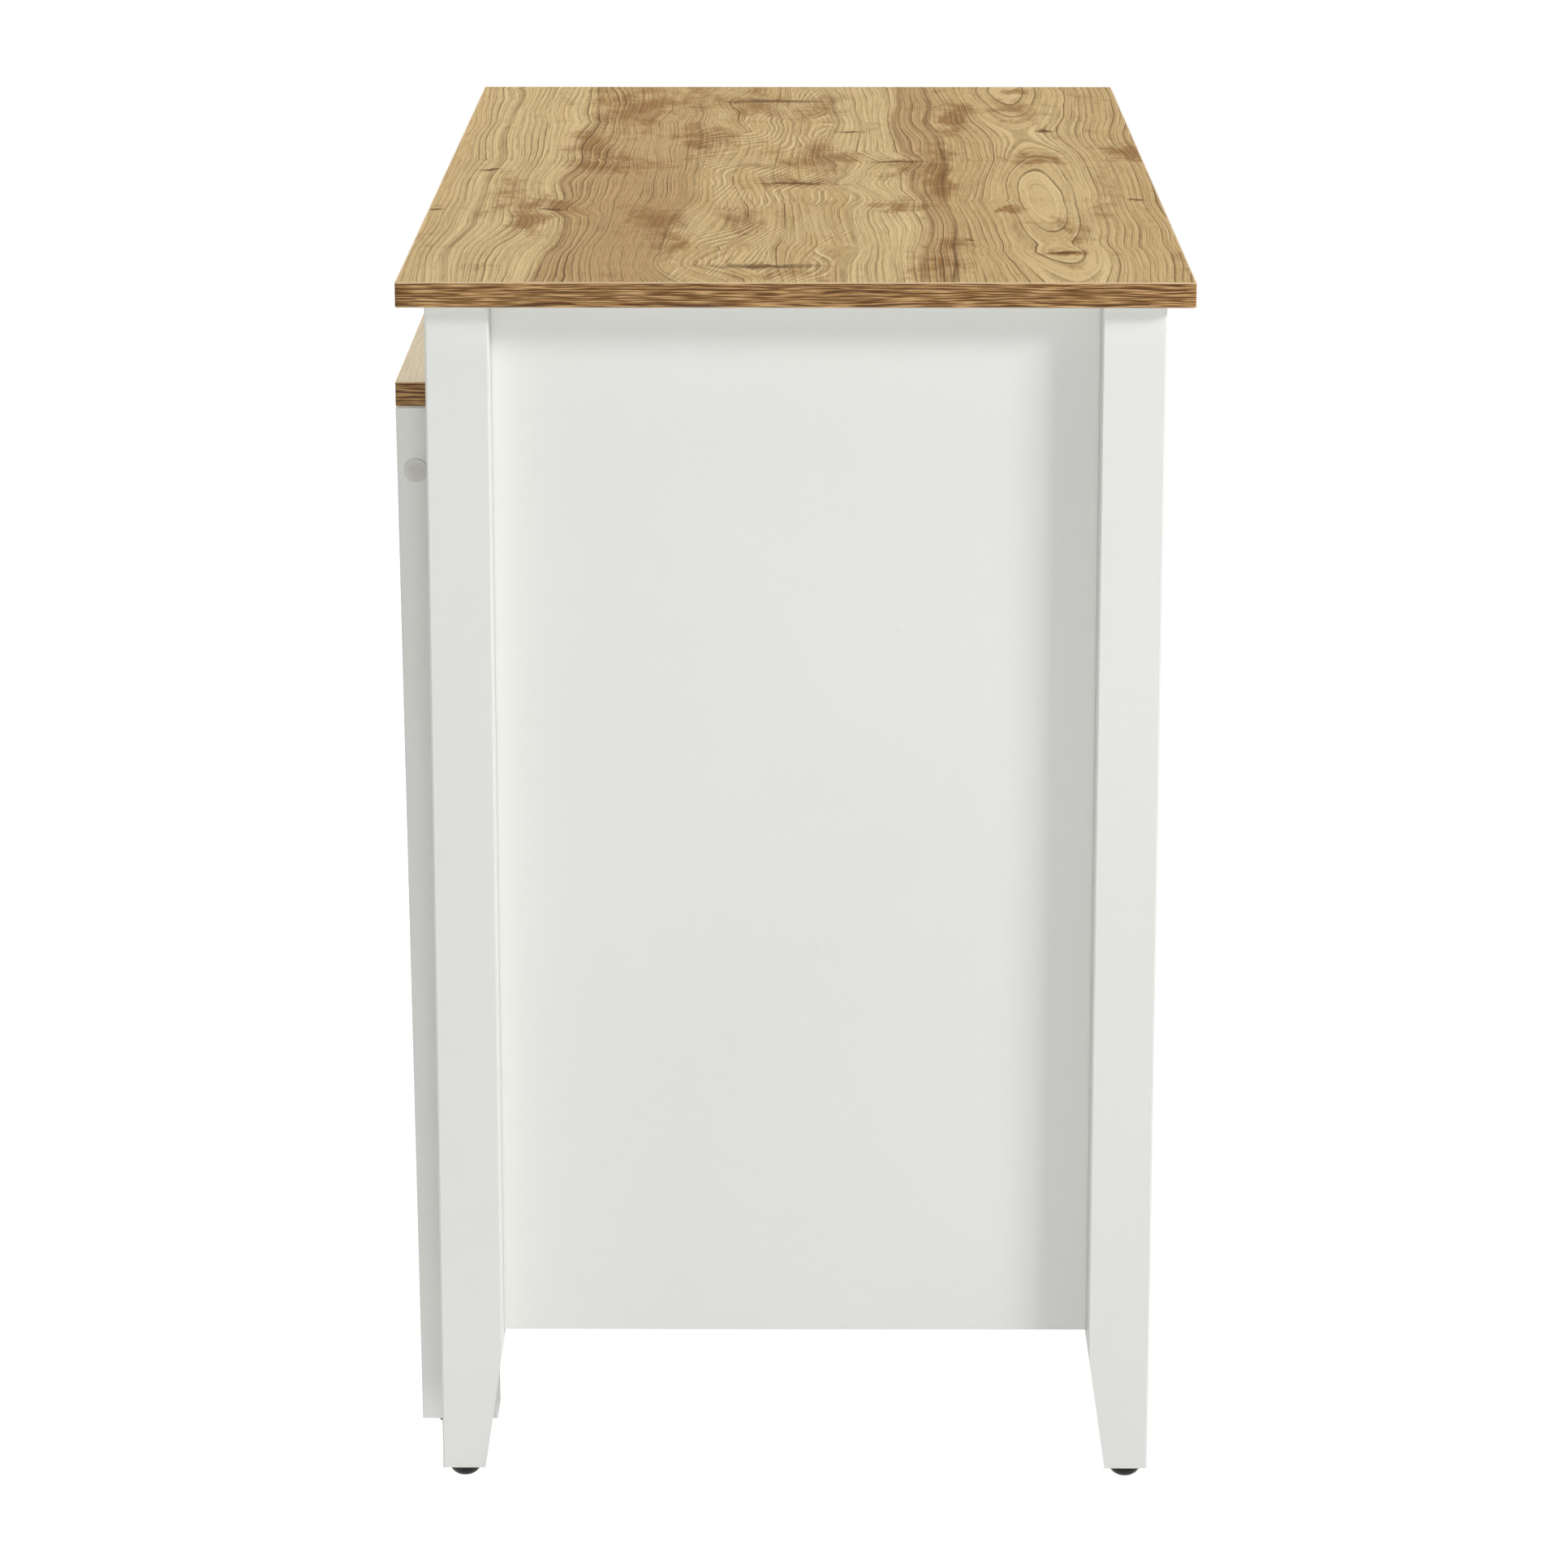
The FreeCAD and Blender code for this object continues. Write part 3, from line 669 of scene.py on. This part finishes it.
class Recipe(Nodes):
    """A Geometry Nodes tree for one repeated piece, with a named input for each of its sizes."""

    def __init__(self, name, sizes):
        super().__init__(bpy.data.node_groups.new(name, "GeometryNodeTree"))
        interface = self.tree.interface
        interface.new_socket("Geometry", in_out="OUTPUT", socket_type="NodeSocketGeometry")
        interface.new_socket("Places", in_out="INPUT", socket_type="NodeSocketGeometry")
        for size in sizes:
            interface.new_socket(size, in_out="INPUT", socket_type="NodeSocketFloat")
        self.sizes = sizes
        self.places, *self.given = self.outputs("NodeGroupInput", {}, ["Places", *sizes])

    def raised(self, shape, height):
        """A shape moved along its own axis."""
        offset = self.point(0.0, 0.0, height)
        return self.node("GeometryNodeTransform", {}, {"Geometry": shape, "Translation": offset})

    def turned(self, low_radius, high_radius, length, sides):
        """A round piece on its axis from height 0, straight or tapered."""
        sockets = {"Vertices": sides, "Depth": length}
        sockets["Radius Bottom"] = low_radius
        sockets["Radius Top"] = high_radius
        return self.node("GeometryNodeMeshCone", {}, sockets)

    def joined(self, shapes):
        return self.node("GeometryNodeMeshBoolean", {"operation": "UNION", "solver": "EXACT"}, {1: shapes})

    def less(self, shape, cutters):
        sockets = {0: shape, 1: cutters}
        return self.node("GeometryNodeMeshBoolean", {"operation": "DIFFERENCE", "solver": "EXACT"}, sockets)

    def placed(self, shape, material):
        """The shape at every given place, its axis along the place's direction, as one plain mesh."""
        vector = {"data_type": "FLOAT_VECTOR"}
        direction = self.node("GeometryNodeInputNamedAttribute", vector, {0: "direction"})
        turn = self.node("FunctionNodeAlignRotationToVector", {"axis": "Z"}, {"Vector": direction})
        sockets = {"Points": self.places, "Instance": shape, "Rotation": turn}
        instances = self.node("GeometryNodeInstanceOnPoints", {}, sockets)
        real = self.node("GeometryNodeRealizeInstances", {}, {0: instances})
        finished = self.node("GeometryNodeSetMaterial", {}, {"Geometry": real, "Material": material})
        self.node("NodeGroupOutput", {}, {0: finished})
        return self


def pan_head_screw(material):
    """A pan head screw with a cross recess: its seat is at height 0 and its shank runs up the axis."""
    screw = Recipe("pan_head_screw", screw_sizes)
    radius, height, shank_radius, shank_length = screw.given
    half_height = height * 0.5
    crown = screw.turned(radius * 0.62, radius, half_height, sides=20)
    crown = screw.raised(crown, height * -1.0)
    rim = screw.turned(radius, radius, half_height, sides=20)
    rim = screw.raised(rim, half_height * -1.0)
    shank = screw.turned(shank_radius, screw_point_radius, shank_length, sides=12)
    slot_long = radius * 1.05
    slot_wide = radius * 0.26
    slots = []
    for along_x, along_y in ((slot_long, slot_wide), (slot_wide, slot_long)):
        slot = screw.node("GeometryNodeMeshCube", {}, {"Size": screw.point(along_x, along_y, height)})
        slots.append(screw.raised(slot, height * -1.0))
    return screw.placed(screw.less(screw.joined([crown, rim, shank]), slots), material)


def shelf_support(material):
    """A shelf pin with a collar: the collar's back is at height 0 and the buried end runs up the axis."""
    pin = Recipe("shelf_support", pin_sizes)
    radius, buried, shown, collar_radius, collar_height, tip_radius = pin.given
    tip = radius - tip_radius
    straight = shown - tip
    end = pin.turned(tip_radius, radius, tip, sides=20)
    end = pin.raised(end, shown * -1.0)
    stem = pin.turned(radius, radius, straight + buried, sides=20)
    stem = pin.raised(stem, straight * -1.0)
    collar = pin.turned(collar_radius, collar_radius, collar_height, sides=24)
    collar = pin.raised(collar, collar_height * -1.0)
    return pin.placed(pin.joined([end, stem, collar]), material)


def separate_corners(node):
    """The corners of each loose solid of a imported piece, in the row frame."""
    mesh = bmesh.new()
    mesh.from_mesh(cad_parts[node].data)
    bmesh.ops.remove_doubles(mesh, verts=mesh.verts, dist=1e-5)
    left = set(mesh.verts)
    solids = []
    while left:
        found = [left.pop()]
        corners = []
        while found:
            corner = found.pop()
            corners.append(corner.co.copy())
            near = {edge.other_vert(corner) for edge in corner.link_edges} & left
            left -= near
            found.extend(near)
        solids.append(corners)
    mesh.free()
    return solids


def low_and_high(corners):
    low = Vector([min(corner[k] for corner in corners) for k in range(3)])
    high = Vector([max(corner[k] for corner in corners) for k in range(3)])
    return low, high


def screw_seats(node):
    """Where each screw's head meets its plate, and the direction of its shank."""
    wider_than_shank = screw_sizes["Head Radius"] * 0.8
    seats = []
    for corners in separate_corners(node):
        low, high = low_and_high(corners)
        middle = (low + high) / 2
        axis = max(range(3), key=lambda k: high[k] - low[k])
        side = (axis + 1) % 3
        head = [corner[axis] for corner in corners if abs(corner[side] - middle[side]) > wider_than_shank]
        towards = 1 if min(head) - low[axis] < high[axis] - max(head) else -1
        direction = Vector([towards if k == axis else 0 for k in range(3)])
        middle[axis] = low[axis] if towards > 0 else high[axis]
        seats.append((middle + direction * screw_sizes["Head Height"], direction))
    return seats


def pin_seats(node):
    """Where each shelf pin leaves its panel, and the direction of its buried end."""
    seats = []
    for corners in separate_corners(node):
        low, high = low_and_high(corners)
        middle = (low + high) / 2
        bay = shelf_bay if middle.x > 0 else -shelf_bay
        direction = Vector((1 if middle.x > bay else -1, 0, 0))
        middle.x = high.x if direction.x > 0 else low.x
        seats.append((middle - direction * pin_sizes["Buried Length"], direction))
    return seats


def add_object(name, data):
    thing = bpy.data.objects.new(name, data)
    bpy.context.scene.collection.objects.link(thing)
    return thing


def make_repeated(name, seats, recipe):
    """Runs a recipe on its places and returns the result as a plain mesh piece."""
    places = bpy.data.meshes.new(name + "_places")
    places.from_pydata([seat for seat, _ in seats], [], [])
    directions = places.attributes.new("direction", "FLOAT_VECTOR", "POINT")
    directions.data.foreach_set("vector", [part for _, direction in seats for part in direction])
    maker = add_object(name + "_places", places)
    modifier = maker.modifiers.new(name, "NODES")
    modifier.node_group = recipe.tree
    for item in recipe.tree.interface.items_tree:
        if item.in_out == "INPUT" and item.name in recipe.sizes:
            modifier[item.identifier] = recipe.sizes[item.name]
    depsgraph = bpy.context.evaluated_depsgraph_get()
    mesh = bpy.data.meshes.new_from_object(maker.evaluated_get(depsgraph), depsgraph=depsgraph)
    mesh.name = name
    bpy.data.objects.remove(maker)
    return add_object(name, mesh)


def add_fixings():
    """Screws with cross recesses and pins with collars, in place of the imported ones."""
    steel = finishes["zinc_steel"]
    screw = pan_head_screw(steel)
    groups = {"island_screws": ("island", ["worktop_bracket_screws", "slide_outer_screws"]),
              "table_screws": ("table", ["table_bracket_screws", "slide_inner_screws"])}
    for name, (body, nodes) in groups.items():
        seats = [seat for node in nodes for seat in screw_seats(node)]
        piece = make_repeated(name, seats, screw)
        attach(piece, body)
        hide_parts(*nodes)
    pins = make_repeated("shelf_supports", pin_seats("shelf_pins"), shelf_support(steel))
    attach(pins, "island")
    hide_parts("shelf_pins")


def direction_at(turn, rise):
    """The direction at a turn from +X towards +Y and a rise, both in degrees."""
    turn = math.radians(turn)
    rise = math.radians(rise)
    return Vector((math.cos(rise) * math.cos(turn), math.cos(rise) * math.sin(turn), math.sin(rise)))


def look_along(thing, direction):
    thing.rotation_euler = direction.to_track_quat("-Z", "Y").to_euler()


def add_camera():
    """The camera at the photographed angle, level from side to side and with no shift."""
    camera = add_object("camera", bpy.data.cameras.new("camera"))
    camera.data.lens = camera_lens
    camera.data.sensor_width = camera_sensor
    camera.location = camera_place
    look_along(camera, -direction_at(camera_pan, camera_tilt))
    bpy.context.scene.camera = camera


def add_softbox(name, turn, rise, width, height, power):
    """A broad soft light that faces the lit place."""
    towards = direction_at(turn, rise)
    lamp = add_object(name, bpy.data.lights.new(name, "AREA"))
    lamp.data.shape = "RECTANGLE"
    lamp.data.size = width
    lamp.data.size_y = height
    lamp.data.energy = power
    lamp.location = lit_place + towards * lamp_distance
    look_along(lamp, -towards)


def seen_directly(nodes):
    """1 for rays from the camera and for those that a gloss or a glass sends on."""
    rays = ["Is Camera Ray", "Is Glossy Ray", "Is Transmission Ray"]
    camera, gloss, glass = nodes.outputs("ShaderNodeLightPath", {}, rays)
    return nodes.math("MAXIMUM", nodes.math("MAXIMUM", camera, gloss), glass)


def add_room():
    """Even light from all round, white where the camera looks past the object."""
    world = bpy.data.worlds.new("room")
    world.use_nodes = True
    room = Nodes(world.node_tree)
    light = room.node("ShaderNodeBackground", {}, {"Color": white, "Strength": room_light})
    backdrop = room.node("ShaderNodeBackground", {}, {"Color": white, "Strength": 1.0})
    mixed = room.node("ShaderNodeMixShader", {}, {0: seen_directly(room), 1: light, 2: backdrop})
    room.node("ShaderNodeOutputWorld", {}, {"Surface": mixed})
    bpy.context.scene.world = world


def add_floor():
    """A plain pale floor that shows white to the camera and keeps the island's soft shadow."""
    f = Finish("floor")
    pale = f.ramp(f.noise(f.place, scale=2.0), [(0.3, paint(232, 232, 231)), (0.7, paint(235, 235, 234))])
    lit = f.node("ShaderNodeBsdfPrincipled", {}, {"Base Color": pale, "Roughness": 0.9})
    shown = f.node("ShaderNodeBsdfPrincipled", {}, {
        "Base Color": floor_grey, "Roughness": 1.0, "Specular IOR Level": 0.0,
        "Emission Color": white, "Emission Strength": floor_glow})
    mixed = f.node("ShaderNodeMixShader", {}, {0: seen_directly(f), 1: lit, 2: shown})
    f.node("ShaderNodeOutputMaterial", {}, {"Surface": mixed})
    turns = [math.tau * k / floor_sides for k in range(floor_sides)]
    rim = [(math.cos(turn) * floor_reach, math.sin(turn) * floor_reach, 0) for turn in turns]
    mesh = bpy.data.meshes.new("floor")
    mesh.from_pydata(rim, [], [tuple(range(floor_sides))])
    mesh.materials.append(f.material)
    floor = add_object("floor", mesh)


dress_frame()
add_fixings()
add_camera()
for name, measures in softboxes.items():
    add_softbox(name, *measures)
add_room()
add_floor()
bpy.context.scene.view_settings.view_transform = "Standard"
